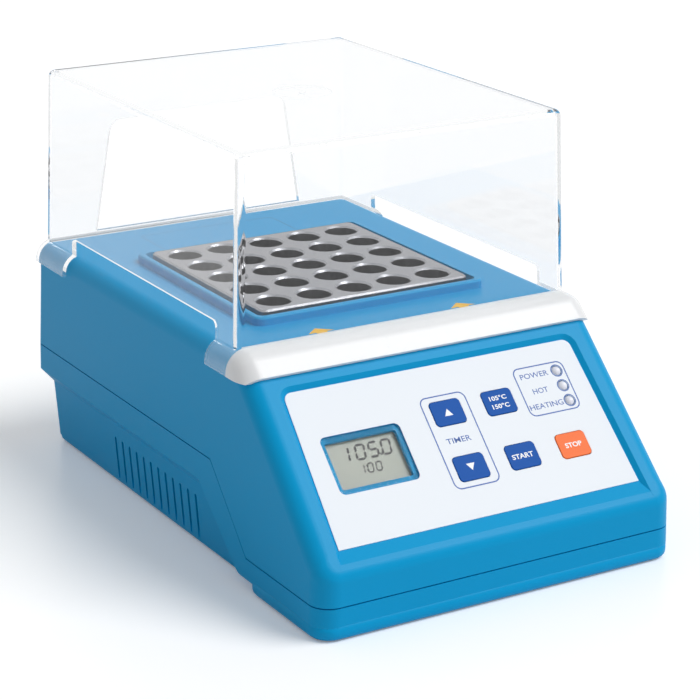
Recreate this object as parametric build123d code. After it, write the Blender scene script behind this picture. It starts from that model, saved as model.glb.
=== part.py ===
from build123d import *
import math
import os

os.makedirs("parts", exist_ok=True)

# Driving dimensions in millimetres. The floor is z = 0, the front faces -Y.
case_half_width = 94.5
case_half_depth = 150.0
side_lean = math.tan(math.radians(1.7))
back_lean = math.tan(math.radians(2.9))
wall = 2.8
foot_height = 4.0
floor_top = foot_height + wall
case_top = 106.4
part_front = 16.0
part_side = 51.5
part_bend_top = -47.5
part_bend_low = -83.0
part_gap = 0.3
front_corner = 10.0
back_corner = 6.0
edge_round = 8.0
bend_round = 9.0

# The sloped panel: a local frame at the middle of the overlay's lower edge
panel_angle = 44.5
panel_y = -140.4
panel_z = 38.0
rim_rise = 1.5
overlay_thick = 0.4
panel_skin = 2.6
panel_sin = math.sin(math.radians(panel_angle))
panel_cos = math.cos(math.radians(panel_angle))
panel_plane = Plane(
    origin=(0, panel_y, panel_z),
    x_dir=(1, 0, 0),
    z_dir=(0, -panel_sin, panel_cos),
)
skin_under = -overlay_thick - panel_skin
overlay_length = 76.5
overlay_half_low = 79.7
overlay_half_high = 76.4

# Keys, lamps and display on the panel, in the panel's own x and s
key_size = (16.0, 12.3)
key_round = 2.0
key_gap = 0.25
key_proud = 0.35
key_travel = 0.4
key_places = {
    "key_up": (-1.2, 52.1),
    "key_down": (-1.2, 24.1),
    "key_temp": (26.6, 52.1),
    "key_start": (26.6, 24.1),
    "key_stop": (54.5, 24.1),
}
lamp_places = {
    "led_power": (63.2, 61.7),
    "led_hot": (63.2, 53.8),
    "led_heating": (63.2, 45.9),
}
lamp_radius = 2.5
lamp_gap = 0.15
display_at = (-47.8, 38.3)
display_seat = (41.0, 28.5)
display_view = (36.5, 23.0)
pane_thick = 1.2
board_top = -11.0
board_thick = 1.6
board_size = (148.0, 64.0)
board_mid = 38.0
board_screws_at = [(x, s) for x in (-69.0, 69.0) for s in (11.0, 65.0)]

# The heating block and what holds it
block_size = 113.0
block_y = 26.5
block_low = 39.5
block_top = 111.5
well_pitch = 21.89
well_radius = 8.2
well_depth = 58.0
well_chamfer = 0.9
heater_x = 27.0
heater_z = 45.0
heater_radius = 5.0
heater_length = 101.0
snug = 0.05
probe_radius = 2.0
probe_length = 60.0
rim_gap = 3.0
rim_wall = 3.0
rim_height = 4.0
jacket_thick = 9.5
jacket_low = 41.0
jacket_top = 101.0
base_sheet = 6.0
cradle_thick = 1.6
cradle_half = 62.2
cradle_length = 110.0
cradle_foot_z = 14.0
cradle_post_x = 68.0
cradle_post_y = 41.0
block_screw_at = 46.0

# Case screws, feet, boards and rear panel
case_posts = [(82.0, 127.0, 30.0), (83.0, -48.0, 30.0), (83.0, -128.0, 13.5)]
post_radius = 4.3
feet_at = [(x, y) for x in (-70.0, 70.0) for y in (-108.0, 104.0)]
power_mid = (20.0, -108.0)
power_size = (104.0, 50.0)
power_z = 12.0
coil_mid = (-56.0, -76.0)
inlet_z = 19.5
inlet_x = 45.0
socket_x = 37.0
drawer_x = 64.0
rear_y = 139.0
inlet_flange = (66.0, 24.0, 2.5)
inlet_body = (50.0, 21.0, 24.0)
inlet_screw_dx = 29.0
drawer_size = (8.0, 18.0, 24.0)
drawer_gap = 0.15
rocker_x = -6.0
rocker_radius = 8.0
rocker_y = 138.0
rocker_tilt = 8.0

# The lift-off shield
shield_wall = 2.4
shield_low_half = 88.7
shield_high_half = 85.7
shield_low_y = (-66.3, 144.0)
shield_high_y = (-65.0, 140.9)
shield_top = 196.6
flange_gap = 0.3
flange_thick = 2.0
flange_drop_z = 97.0
flange_slope_s = 84.0
notch_y = (-45.5, 110.6)
notch_top = 116.0


def slab(x0, x1, y0, y1, z0, z1):
    size = Box(x1 - x0, y1 - y0, z1 - z0)
    return Pos((x0 + x1) / 2, (y0 + y1) / 2, (z0 + z1) / 2) * size


def rod(x, y, z0, z1, radius):
    return Pos(x, y, (z0 + z1) / 2) * Cylinder(radius, z1 - z0)


def rod_y(x, z, y0, y1, radius):
    return Pos(x, (y0 + y1) / 2, z) * (Rot(90, 0, 0) * Cylinder(radius, y1 - y0))


def panel_slab(x, s, width, length, z0, z1, radius=0.0):
    outline = RectangleRounded(width, length, radius) if radius else Rectangle(width, length)
    solid = extrude(Pos(x, s, z0) * outline, z1 - z0)
    return panel_plane * solid


def panel_rod(x, s, z0, z1, radius):
    return panel_plane * (Pos(x, s, (z0 + z1) / 2) * Cylinder(radius, z1 - z0))


def side_prism(points, half=110.0):
    outline = make_face(Plane.YZ * Polyline(*points, close=True))
    return extrude(outline, half, both=True)


def wall_outline(inset, z):
    # A level slice of the case: the sides and back lean in, and the corners are rounded
    half = case_half_width - inset - side_lean * (z - part_front)
    front = -case_half_depth + inset
    back = case_half_depth - inset - back_lean * max(z - part_side, 0)
    outline = make_face(Polyline((-half, front), (half, front), (half, back), (-half, back), close=True))
    fronts = outline.vertices().filter_by(lambda vertex: vertex.Y < 0)
    outline = fillet(fronts, front_corner - inset)
    backs = outline.vertices().filter_by(lambda vertex: vertex.Y > back - 1)
    return Pos(0, 0, z) * fillet(backs, max(back_corner - inset, 1.5))


def leaning_block(inset, z_low, z_high):
    # The four walls of the case between two heights, upright behind below the parting line
    middle = min(z_high, part_side)
    block = loft([wall_outline(inset, z_low), wall_outline(inset, middle)], ruled=True)
    if z_high > part_side:
        block = block + loft([wall_outline(inset, part_side), wall_outline(inset, z_high)], ruled=True)
    return block


def case_form(inset, slope_inset):
    # The case's outside, or an offset of it: the slope, the bend and one edge rounding
    top = case_top - inset
    lift = (rim_rise - slope_inset) / panel_cos
    rise = panel_sin / panel_cos
    bend_y = panel_y + (top - panel_z - lift) / rise
    front = -case_half_depth + inset
    lip_z = panel_z + lift + (front - panel_y) * rise
    keep = side_prism(
        [(170, 0), (170, top), (bend_y, top), (-160, lip_z - (160 + front) * rise), (-160, 0)]
    )
    form = leaning_block(inset, 0, 130) & keep
    bend = form.edges().filter_by(Axis.X).filter_by(lambda edge: abs((edge @ 0.5).Y - bend_y) < 1)
    form = fillet(bend, bend_round - inset)
    lip = form.edges().filter_by(Axis.X).filter_by(
        lambda edge: (edge @ 0.5).Y < -140 and 20 < (edge @ 0.5).Z < 40
    )
    return fillet(lip, edge_round - inset)


def below_parting(rise):
    # Everything under the line where cover and tray meet, moved up by rise
    return side_prism(
        [
            (170, part_side + rise),
            (part_bend_top, part_side + rise),
            (part_bend_low, part_front + rise),
            (-170, part_front + rise),
            (-170, -10),
            (170, -10),
        ]
    )


def round_outline(half, y0, y1, z, radius):
    mid = Pos(0, (y0 + y1) / 2, z)
    return mid * RectangleRounded(2 * half, y1 - y0, radius)


def tray_outside():
    # A full-width band and front bumper over a tub that is set back behind a slanted step
    band = leaning_block(0, foot_height, 60) & side_prism(
        [(170, 38), (-36, 38), (-78, foot_height), (-170, foot_height), (-170, 70), (170, 70)]
    )
    low = round_outline(89.0, -110, rear_y, foot_height, back_corner)
    high = round_outline(91.3, -110, rear_y, 34, back_corner)
    tub = loft([low, high], ruled=True)
    lip = round_outline(case_half_width - side_lean * 22, -44, case_half_depth, 38, back_corner)
    step = loft([round_outline(91.3, -44, rear_y, 34, back_corner), lip], ruled=True)
    return (band + tub + step) & below_parting(-part_gap)


def tray_inside():
    band = leaning_block(wall, floor_top, 62) & side_prism(
        [(170, 40.8), (-37.8, 40.8), (-79.8, floor_top), (-170, floor_top), (-170, 70), (170, 70)]
    )
    low = round_outline(89.0 - wall, -110, rear_y - wall, floor_top, 3)
    high = round_outline(91.3 - wall, -110, rear_y - wall, 45, 3)
    return band + loft([low, high], ruled=True)


def lip_ring(outer_inset, inner_inset, rise):
    # A thin wall inside the outside wall, from 5 mm under the parting line to rise above it
    ring = leaning_block(outer_inset, 8, 62) - leaning_block(inner_inset, 7, 63)
    return (ring & below_parting(rise)) - below_parting(-5.0)


def side_vents():
    count = 12
    pitch = 7.94
    width = 2.0
    last = 61.0
    top = 26.5
    cuts = []
    for side in (-1, 1):
        for i in range(count):
            y = last - i * pitch
            x0, x1 = sorted((side * 84.0, side * 96.0))
            cuts.append(slab(x0, x1, y - width / 2, y + width / 2, 0, top - width / 2))
            crown = Pos(side * 90, y, top - width / 2) * (Rot(0, 90, 0) * Cylinder(width / 2, 12))
            cuts.append(crown)
    return cuts


def floor_slots():
    slots = []
    for x in range(-44, 45, 11):
        for y in (2.0, 46.0):
            slots.append(slab(x - 1.5, x + 1.5, y - 16, y + 16, 3, 7))
    return slots


def both_sides(x, y):
    return [(x, y), (-x, y)]


def base_tray():
    tray = tray_outside()
    heel = tray.edges().filter_by(lambda edge: abs((edge @ 0.5).Z - foot_height) < 0.01)
    heel = heel.filter_by(lambda edge: (edge @ 0.5).Y < -120 and abs((edge @ 0).Z - (edge @ 1).Z) < 0.01)
    tray = fillet(heel, 3.5)
    tray = tray - tray_inside()
    tray = tray + lip_ring(wall / 2 + 0.15, wall, 2.5)
    adds, cuts = [], side_vents() + floor_slots()
    for x, y, top in case_posts:
        for px, py in both_sides(x, y):
            adds.append(rod(px, py, foot_height + 1, top, post_radius))
            cuts.append(rod(px, py, 3, top - 4, 3.4))
            cuts.append(rod(px, py, 3, top + 1, 1.9))
    for y in (block_y - cradle_post_y, block_y + cradle_post_y):
        for px, py in both_sides(cradle_post_x, y):
            adds.append(rod(px, py, floor_top - 0.5, cradle_foot_z, 4.5))
            cuts.append(rod(px, py, 7.5, cradle_foot_z + 1, 1.7))
    for x, y in power_posts():
        adds.append(rod(x, y, floor_top - 0.5, power_z, 3.2))
        cuts.append(rod(x, y, 7.5, power_z + 1, 1.2))
    for y in (-30.0, 24.0, 78.0):
        adds.append(slab(-60, 60, y - 0.8, y + 0.8, floor_top - 0.5, 11))
    for x, y in feet_at:
        cuts.append(rod(x, y, 3, 8, 3.05))
    for x in (-24.0, 24.0):
        adds.append(rod(coil_mid[0] + x, coil_mid[1], floor_top - 0.5, 9, 4))
        cuts.append(rod(coil_mid[0] + x, coil_mid[1], 7.5, 10, 1.5))
    for part in adds:
        tray = tray + part
    width, height, depth = inlet_body
    edge = 0.2
    cuts.append(slab(inlet_x - width / 2 - edge, inlet_x + width / 2 + edge, 130, 142,
                     inlet_z - height / 2 - edge, inlet_z + height / 2 + edge))
    cuts.append(slab(rocker_x - 6.5, rocker_x + 6.5, 130, 142, inlet_z - 9.5, inlet_z + 9.5))
    for dx in (-inlet_screw_dx, inlet_screw_dx):
        cuts.append(rod_y(inlet_x + dx, inlet_z, 130, 142, 1.6))
    for part in cuts:
        tray = tray - part
    return tray


def power_posts():
    dx, dy = power_size[0] / 2 - 5, power_size[1] / 2 - 5
    return [(power_mid[0] + i * dx, power_mid[1] + j * dy) for i in (-1, 1) for j in (-1, 1)]


def overlay_outline(grow, drop):
    # The overlay's outline, wider at the foot; grow widens it and drop lengthens its foot
    low = overlay_half_low + grow + drop * 0.04
    high = overlay_half_high + grow
    line = Polyline((-low, -drop), (low, -drop), (high, overlay_length + grow),
                    (-high, overlay_length + grow), close=True)
    face = make_face(line)
    tops = face.vertices().filter_by(lambda v: v.Y > 10)
    return fillet(tops, 4.0 + grow)


def panel_recess():
    # A recess with sloping walls, whose floor ramps up again under the overlay's lower edge
    depth = rim_rise + overlay_thick
    low = Pos(0, 0, -overlay_thick) * overlay_outline(0.4, 14)
    high = Pos(0, 0, -overlay_thick + depth + 0.6) * overlay_outline(0.4 + depth + 0.9, 14)
    pocket = loft([low, high], ruled=True)
    far = 200
    outline = Polyline((-0.4, -overlay_thick), (far, -overlay_thick), (far, 5), (-14, 5),
                       (-14, rim_rise), (-7, rim_rise - 0.1), close=True)
    ramp = extrude(make_face(Plane.YZ * outline), far, both=True)
    return panel_plane * (pocket & ramp)


def panel_openings(z0, z1):
    cuts = []
    for x, s in key_places.values():
        cuts.append(panel_slab(x, s, key_size[0] + 2 * key_gap, key_size[1] + 2 * key_gap,
                               z0, z1, key_round + key_gap))
    for x, s in lamp_places.values():
        cuts.append(panel_rod(x, s, z0, z1, lamp_radius + lamp_gap))
    return cuts


def block_rim():
    inner = block_size / 2 + rim_gap
    outer = inner + rim_wall
    foot = Pos(0, block_y, case_top - 1) * RectangleRounded(2 * outer, 2 * outer, 5)
    ring = extrude(foot, rim_height + 1)
    crest = ring.edges().filter_by(lambda edge: (edge @ 0.5).Z > case_top + 3)
    return fillet(crest, 1.2)


def top_cover():
    skin = (rim_rise + overlay_thick + panel_skin)
    cover = case_form(0, 0) - below_parting(part_gap)
    cover = cover - case_form(wall, skin)
    cover = cover - (leaning_block(wall / 2 - 0.15, 1, 62) & below_parting(2.8))
    cover = cover + block_rim()
    inner = block_size + 2 * rim_gap
    opening = Pos(0, block_y, 95) * RectangleRounded(inner, inner, 3.5)
    cover = cover - extrude(opening, 20)
    cover = cover - panel_recess()
    adds, cuts = [], panel_openings(-8, 4)
    for x, y, low in case_posts:
        for px, py in both_sides(x, y):
            post = rod(px, py, low, 130, post_radius - 0.3) & case_form(1.0, skin - 1.5)
            adds.append(post)
            cuts.append(rod(px, py, low - 1, low + 12, 1.4))
    for x, s in board_screws_at:
        adds.append(panel_rod(x, s, board_top, skin_under + 0.5, 3.0))
        cuts.append(panel_rod(x, s, board_top - 1, board_top + 6, 1.15))
    for part in adds:
        cover = cover + part
    x, s = display_at
    cuts.append(panel_slab(x, s, *display_seat, -overlay_thick - 0.8, 2, 3.0))
    cuts.append(panel_slab(x, s, *display_view, -6, 2, 1.0))
    for part in cuts:
        cover = cover - part
    return cover


def panel_overlay():
    sheet = panel_plane * extrude(Pos(0, 0, -overlay_thick) * overlay_outline(0, 0), overlay_thick)
    for part in panel_openings(-2, 2):
        sheet = sheet - part
    x, s = display_at
    return sheet - panel_slab(x, s, display_seat[0], display_seat[1], -2, 2, 3.0)


def lcd_window():
    x, s = display_at
    return panel_slab(x, s, display_seat[0] - 0.2, display_seat[1] - 0.2, -pane_thick, 0.0, 2.9)


def lcd_frame():
    x, s = display_at
    body = panel_slab(x, s, 45, 31, board_top + 2.0, skin_under - 0.3)
    body = body - panel_slab(x, s, 39, 25, skin_under - 1.9, skin_under, 0)
    for dx in (-19.0, 19.0):
        body = body + panel_slab(x + dx, s, 3, 26, board_top, board_top + 2.5)
    return body


def lcd_glass():
    x, s = display_at
    return panel_slab(x, s, 38.8, 24.8, skin_under - 1.9, skin_under - 0.5)


def key(place):
    x, s = place
    cap = panel_slab(x, s, key_size[0], key_size[1], skin_under - 0.6, key_proud, key_round)
    rims = (panel_plane.location.inverse() * cap).edges().group_by(Axis.Z)[-1]
    cap = panel_plane * fillet(rims, 0.25)
    cap = cap + panel_slab(x, s, key_size[0] + 3, key_size[1] + 3, skin_under - 1.2, skin_under, 2)
    return cap + panel_rod(x, s, skin_under - 2.7, skin_under - 1.1, 2.0)


def lamp(place):
    x, s = place
    body = panel_rod(x, s, -4.6, -1.2, lamp_radius)
    dome = panel_plane * (Pos(x, s, -1.3) * Sphere(lamp_radius))
    body = body + (dome & panel_rod(x, s, -1.3, 3, 4))
    body = body + panel_rod(x, s, -5.6, -4.6, lamp_radius + 0.4)
    for dx in (-1.27, 1.27):
        body = body + panel_slab(x + dx, s, 0.6, 0.6, board_top, -5.5)
    return body


def control_board():
    board = panel_slab(0, board_mid, *board_size, board_top - board_thick, board_top, 2)
    for x, s in board_screws_at:
        board = board - panel_rod(x, s, board_top - 3, board_top + 1, 1.3)
    chips = [(-10, 38, 14, 14, 1.6), (30, 38, 9, 20, 2.2), (-16, 20, 6, 10, 1.4)]
    for x, s, width, length, rise in chips:
        board = board + panel_slab(x, s, width, length, board_top - board_thick - rise,
                                   board_top - board_thick + 0.2)
    return board + panel_slab(24, 14, 18, 6, board_top - board_thick - 3, board_top - 1)


def tactile_switches():
    group = []
    for x, s in key_places.values():
        base = panel_slab(x, s, 6, 6, board_top, board_top + 3.5)
        group.append(base + panel_rod(x, s, board_top + 3, board_top + 4.8, 1.7))
    return Compound(group)


def control_screws():
    group = []
    low = board_top - board_thick
    for x, s in board_screws_at:
        head = panel_rod(x, s, low - 1.8, low, 2.6)
        head = head - panel_slab(x, s, 3.4, 0.8, low - 2, low - 1.1)
        head = head - panel_slab(x, s, 0.8, 3.4, low - 2, low - 1.1)
        group.append(head + panel_rod(x, s, low - 0.1, board_top + 4, 1.05))
    return Compound(group)


def well_places():
    steps = [i * well_pitch for i in range(-2, 3)]
    return [(x, block_y + y) for y in steps for x in steps]


def heating_block():
    body = Pos(0, block_y, 0) * extrude(
        Pos(0, 0, block_low) * RectangleRounded(block_size, block_size, 3), block_top - block_low
    )
    crest = body.edges().group_by(Axis.Z)[-1]
    body = chamfer(crest, 0.8)
    mouth = well_radius + well_chamfer
    cut = Polyline((0, block_top - well_depth - 1.5), (2, block_top - well_depth - 1.5),
                   (well_radius, block_top - well_depth), (well_radius, block_top - well_chamfer),
                   (mouth, block_top), (mouth, block_top + 2), (0, block_top + 2), close=True)
    well = revolve(make_face(Plane.XZ * cut), Axis.Z)
    wells = [Pos(x, y, 0) * well for x, y in well_places()]
    back = block_y + block_size / 2
    bores = [rod_y(x, heater_z, back - heater_length - 2, back + 1, heater_radius)
             for x in (-heater_x, heater_x)]
    bores.append(rod_y(0, heater_z, back - probe_length, back + 1, probe_radius + snug))
    for x, y in block_screw_places():
        bores.append(rod(x, y, block_low - 1, block_low + 10, 1.65))
    return body - (wells + bores)


def block_screw_places():
    reach = (-block_screw_at, block_screw_at)
    return [(x, block_y + y) for x in reach for y in reach]


def heater_cartridges():
    back = block_y + block_size / 2
    group = []
    for x in (-heater_x, heater_x):
        tube = rod_y(x, heater_z, back - heater_length - 2, back + 1.5, heater_radius - snug)
        tube = tube + rod_y(x, heater_z, back + 1, back + 4, heater_radius - 1.2)
        group.append(tube)
    return Compound(group)


def temperature_sensor():
    back = block_y + block_size / 2
    probe = rod_y(0, heater_z, back - probe_length, back + 3, probe_radius)
    return probe + rod_y(0, heater_z, back + 2, back + 8, probe_radius + 0.8)


def thermal_cutout():
    back = block_y + block_size / 2
    x, z = -44.0, 78.0
    body = rod_y(x, z, back + 0.9, back + 7, 8.0)
    plate = slab(x - 15, x + 15, back, back + 1, z - 5, z + 5)
    body = body + plate
    for dx in (-3.5, 3.5):
        body = body + slab(x + dx - 0.4, x + dx + 0.4, back + 6.5, back + 13, z - 3, z + 3)
    for dx in (-12.0, 12.0):
        body = body + rod_y(x + dx, z, back + 0.9, back + 3, 2.4)
    return body


def insulation_jacket():
    inner = block_size
    outer = inner + 2 * jacket_thick
    form = Pos(0, block_y, jacket_low) * RectangleRounded(outer, outer, 8)
    hollow = Pos(0, block_y, jacket_low - 1) * RectangleRounded(inner, inner, 3)
    jacket = extrude(form, jacket_top - jacket_low) - extrude(hollow, 80)
    back = block_y + block_size / 2
    for x in (-heater_x, heater_x):
        jacket = jacket - slab(x - 7, x + 7, back - 2, back + 12, 38, heater_z + 7)
    jacket = jacket - slab(-5, 5, back - 2, back + 12, 38, heater_z + 5)
    return jacket - slab(-61, -27, back - 2, back + 12, 67, 89)


def insulation_base():
    low = block_low - base_sheet
    sheet = Pos(0, block_y, low) * RectangleRounded(block_size, block_size, 3)
    sheet = extrude(sheet, base_sheet)
    for x, y in block_screw_places():
        sheet = sheet - rod(x, y, low - 1, block_low + 1, 4.0)
    return sheet


def block_spacers():
    low = block_low - base_sheet
    rings = []
    for x, y in block_screw_places():
        rings.append(rod(x, y, low, block_low, 3.8) - rod(x, y, low - 1, block_low + 1, 2.1))
    return Compound(rings)


def block_cradle():
    # One bent sheet: a table under the insulation and two walls with turned-out feet
    top = block_low - base_sheet
    half, thick, foot = cradle_half, cradle_thick, cradle_foot_z
    out = half + 11.5
    points = [(-out, foot), (-half + thick, foot), (-half + thick, top - thick),
              (half - thick, top - thick), (half - thick, foot), (out, foot),
              (out, foot + thick), (half, foot + thick), (half, top), (-half, top),
              (-half, foot + thick), (-out, foot + thick)]
    sheet = extrude(make_face(Plane.XZ * Polyline(*points, close=True)), cradle_length / 2, both=True)
    sheet = Pos(0, block_y, 0) * sheet
    for x, y in block_screw_places():
        sheet = sheet - rod(x, y, top - 5, top + 1, 2.2)
    for y in (-cradle_post_y, cradle_post_y):
        for px, py in both_sides(cradle_post_x, block_y + y):
            sheet = sheet - rod(px, py, foot - 1, foot + 5, 2.2)
    for y in (-22.0, 22.0):
        window = slab(-90, 90, block_y + y - 14, block_y + y + 14, foot + 5, top - 5)
        sheet = sheet - window
    return sheet


def cross_screw(x, y, z, length, shank, head, rise, up=1):
    # A pan-head screw: z is the seat of its head, and up points from the seat to the head
    body = rod(x, y, min(z, z + up * rise), max(z, z + up * rise), head)
    for size in ((1.4 * head, 0.9), (0.9, 1.4 * head)):
        top = z + up * rise
        low, high = sorted((top - up * 0.8, top + up * 0.2))
        body = body - slab(x - size[0] / 2, x + size[0] / 2, y - size[1] / 2, y + size[1] / 2, low, high)
    end = z - up * length
    return body + rod(x, y, min(z + up * 0.1, end), max(z + up * 0.1, end), shank)


def block_screws():
    seat = block_low - base_sheet - cradle_thick
    return Compound([cross_screw(x, y, seat, 16.5, 1.6, 3.5, 2.6, -1)
                     for x, y in block_screw_places()])


def cradle_screws():
    seat = cradle_foot_z + cradle_thick
    screws = []
    for y in (-cradle_post_y, cradle_post_y):
        for px, py in both_sides(cradle_post_x, block_y + y):
            screws.append(cross_screw(px, py, seat, 7.6, 1.6, 3.3, 2.4))
    return Compound(screws)


def case_screws():
    screws = []
    for x, y, top in case_posts:
        for px, py in both_sides(x, y):
            screws.append(cross_screw(px, py, top - 4, 14, 1.35, 3.1, 2.2, -1))
    return Compound(screws)


def power_screws():
    return Compound([cross_screw(x, y, power_z + board_thick, 5.8, 1.1, 2.6, 1.8)
                     for x, y in power_posts()])


def rubber_feet():
    feet = []
    for x, y in feet_at:
        outline = Polyline((0, 0), (8, 0), (9, 1), (9.5, foot_height), (3, foot_height),
                           (3, floor_top), (4, floor_top), (2.6, floor_top + 2.4),
                           (0, floor_top + 2.4), close=True)
        feet.append(Pos(x, y, 0) * revolve(make_face(Plane.XZ * outline), Axis.Z))
    return Compound(feet)


def power_board():
    x, y = power_mid
    board = Pos(x, y, power_z) * extrude(RectangleRounded(*power_size, 2), board_thick)
    for px, py in power_posts():
        board = board - rod(px, py, power_z - 1, power_z + 3, 1.4)
    return board


def power_parts():
    top = power_z + board_thick
    x, y = power_mid
    relay = slab(x - 50, x - 22, y + 2, y + 14, top, top + 15)
    block = slab(x + 28, x + 52, y - 12, y - 2, top, top + 11)
    for i in range(4):
        cx = x + 31 + 6 * i
        block = block - slab(cx - 2, cx + 2, y - 13, y - 7, top + 2.5, top + 6.5)
    header = slab(x - 9, x + 9, y - 8, y - 2, top, top + 8)
    caps = [rod(x - 42, y - 9, top, top + 14, 5), rod(x - 28, y - 9, top, top + 14, 5)]
    return Compound([relay, block, header] + caps)


def heat_sink():
    top = power_z + board_thick
    x, y = power_mid[0] + 20, power_mid[1] + 16
    sink = slab(x - 15, x + 15, y - 1.5, y + 1.5, top, top + 24)
    for i in range(6):
        fx = x - 13.75 + 5.5 * i
        sink = sink + slab(fx - 0.75, fx + 0.75, y + 1, y + 8, top, top + 24)
    return sink


def triac():
    top = power_z + board_thick
    x, y = power_mid[0] + 20, power_mid[1] + 14.5
    body = slab(x - 5, x + 5, y - 4.5, y, top + 5, top + 20)
    for dx in (-2.5, 0, 2.5):
        body = body + slab(x + dx - 0.4, x + dx + 0.4, y - 2.4, y - 1.8, top, top + 6)
    return body


def transformer_core():
    x, y = coil_mid
    core = slab(x - 20, x + 20, y - 9, y + 9, 10.2, 43)
    core = core - slab(x - 13, x - 7, y - 10, y + 10, 16, 37)
    core = core - slab(x + 7, x + 13, y - 10, y + 10, 16, 37)
    strap = slab(x - 30, x + 30, y - 8, y + 8, 9, 10.2)
    for dx in (-24.0, 24.0):
        strap = strap - rod(x + dx, y, 8, 12, 1.9)
    return core + strap


def transformer_coil():
    x, y = coil_mid
    coil = slab(x - 13, x + 13, y - 16, y + 16, 16, 37)
    coil = fillet(coil.edges().filter_by(Axis.Z), 3)
    tabs = slab(x - 11, x + 11, y - 19, y - 15, 30, 35)
    return (coil + tabs) - slab(x - 7, x + 7, y - 9, y + 9, 10, 50) - coil_windows()


def coil_windows():
    x, y = coil_mid
    outer = slab(x - 30, x + 30, y - 9, y + 9, 0, 60)
    return outer - slab(x - 13, x + 13, y - 10, y + 10, -1, 61)


def coil_screws():
    return Compound([cross_screw(coil_mid[0] + dx, coil_mid[1], 10.2, 2.6, 1.45, 2.8, 2.0)
                     for dx in (-24.0, 24.0)])


def wire(points, radius, bend):
    path = FilletPolyline(*points, radius=bend)
    start = Plane(origin=path @ 0, z_dir=path % 0)
    return sweep(start * Circle(radius), path=path)


def ribbon_cable():
    # A flat strip from the header under the control board to the one on the power board
    top = power_z + board_thick + 8
    depth = board_top - board_thick - 3
    start_y = panel_y + 14 * panel_cos - depth * panel_sin
    start_z = panel_z + 14 * panel_sin + depth * panel_cos
    y0, y1 = power_mid[1] - 5.5, power_mid[1] - 4.5
    drop = Polyline((y0, top), (y1, top), (y1, start_z - 6), (start_y + 0.7, start_z + 0.6),
                    (start_y, start_z - 0.1), (y0, start_z - 7), close=True)
    return extrude(make_face(Plane.YZ.offset(24 - 7.5) * drop), 15)


def mains_inlet():
    width, height, depth = inlet_flange
    flange = slab(inlet_x - width / 2, inlet_x + width / 2, rear_y, rear_y + depth,
                  inlet_z - height / 2, inlet_z + height / 2)
    flange = fillet(flange.edges().filter_by(Axis.Y), 4)
    bw, bh, bd = inlet_body
    body = slab(inlet_x - bw / 2, inlet_x + bw / 2, rear_y - bd, rear_y + 0.5,
                inlet_z - bh / 2, inlet_z + bh / 2)
    module = flange + body
    front = rear_y + depth
    sw, sh = 24.4, 16.6
    outline = Polyline((-sw / 2, -sh / 2), (sw / 2, -sh / 2), (sw / 2, sh / 2 - 5),
                       (sw / 2 - 5, sh / 2), (-sw / 2 + 5, sh / 2), (-sw / 2, sh / 2 - 5), close=True)
    hole = extrude(make_face(Plane.XZ * outline), 16, both=True)
    module = module - (Pos(socket_x, front, inlet_z) * hole)
    w, h, d = drawer_size
    module = module - slab(drawer_x - w / 2 - drawer_gap, drawer_x + w / 2 + drawer_gap,
                           front - d - 1, front + 1,
                           inlet_z - h / 2 - drawer_gap, inlet_z + h / 2 + drawer_gap)
    for dx in (-inlet_screw_dx, inlet_screw_dx):
        module = module - rod_y(inlet_x + dx, inlet_z, rear_y - 1, front + 1, 1.6)
    return module


def inlet_pins():
    front = rear_y + inlet_flange[2]
    pins = []
    for dx, dz in ((-7.0, -2.0), (7.0, -2.0), (0.0, 2.0)):
        pins.append(slab(socket_x + dx - 1, socket_x + dx + 1, front - 16, front - 2,
                         inlet_z + dz - 2, inlet_z + dz + 2))
    return Compound(pins)


def inlet_screws():
    screws = []
    front = rear_y + inlet_flange[2]
    for dx in (-inlet_screw_dx, inlet_screw_dx):
        x = inlet_x + dx
        screw = rod_y(x, inlet_z, front, front + 1.8, 2.6)
        screw = screw - slab(x - 2, x + 2, front + 1, front + 3, inlet_z - 0.4, inlet_z + 0.4)
        screw = screw - slab(x - 0.4, x + 0.4, front + 1, front + 3, inlet_z - 2, inlet_z + 2)
        screw = screw + rod_y(x, inlet_z, rear_y - wall - 4, front + 0.1, 1.5)
        nut = extrude(Plane.XZ * RegularPolygon(3.0, 6), 1.2, both=True)
        screws.append(screw + (Pos(x, rear_y - wall - 1.2, inlet_z) * nut))
    return Compound(screws)


def fuse_drawer():
    front = rear_y + inlet_flange[2]
    w, h, d = drawer_size
    z = inlet_z
    body = slab(drawer_x - w / 2, drawer_x + w / 2, front - d, front + 0.5, z - h / 2, z + h / 2)
    cap = slab(drawer_x - w / 2 - 0.8, drawer_x + w / 2 + 0.8, front, front + 2, z - h / 2 - 0.8, z + h / 2 + 0.8)
    cap = fillet(cap.edges().filter_by(Axis.Y), 1.2)
    drawer = body + cap
    drawer = drawer - slab(drawer_x - 2.7, drawer_x + 5, front - 22.2, front - 2, z - 2.7, z + 2.7)
    return drawer - slab(drawer_x - 3, drawer_x + 3, front + 1, front + 3, z + 6.4, z + 8.0)


def fuse():
    front = rear_y + inlet_flange[2]
    tube = rod_y(drawer_x, inlet_z, front - 22.2, front - 2.2, 2.3)
    tube = tube + rod_y(drawer_x, inlet_z, front - 22.2, front - 17, 2.6)
    return tube + rod_y(drawer_x, inlet_z, front - 7.4, front - 2.2, 2.6)


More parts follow.
